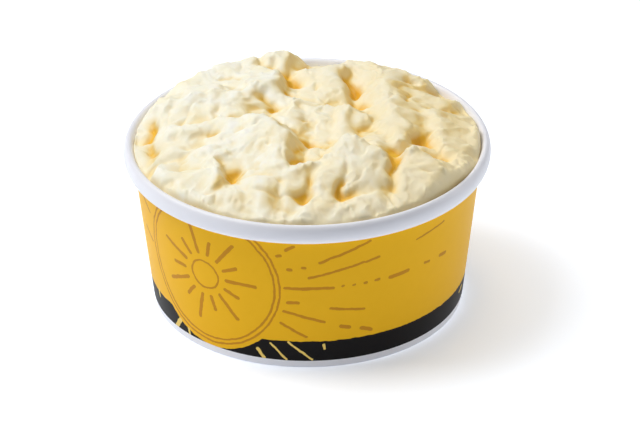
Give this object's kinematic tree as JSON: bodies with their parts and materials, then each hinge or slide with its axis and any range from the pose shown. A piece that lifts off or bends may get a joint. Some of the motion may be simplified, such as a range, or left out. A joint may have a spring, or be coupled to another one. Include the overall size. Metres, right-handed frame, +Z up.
{
  "type": "mashed potato side in a paper tub",
  "caption": "Squat round paper tub with a rolled rim and a printed side wall, heaped with creamy mashed potato in spooned folds; a ready-to-eat side dish.",
  "frame": {"origin": "on the tub's axis, at the height of the flat foot that it stands on", "axes": "+Z up along the tub's axis; -Y is the side that the front faces; +X to the right of it"},
  "size_m": [0.116, 0.116, 0.0673],
  "materials": {
    "printed_board": "satin",
    "white_board": "satin",
    "mashed_potato": "satin"
  },
  "bodies": {
    "root": {"sidewall": "printed_board", "base_disc": "white_board", "mashed_potato": "mashed_potato"}
  },
  "joints": []
}
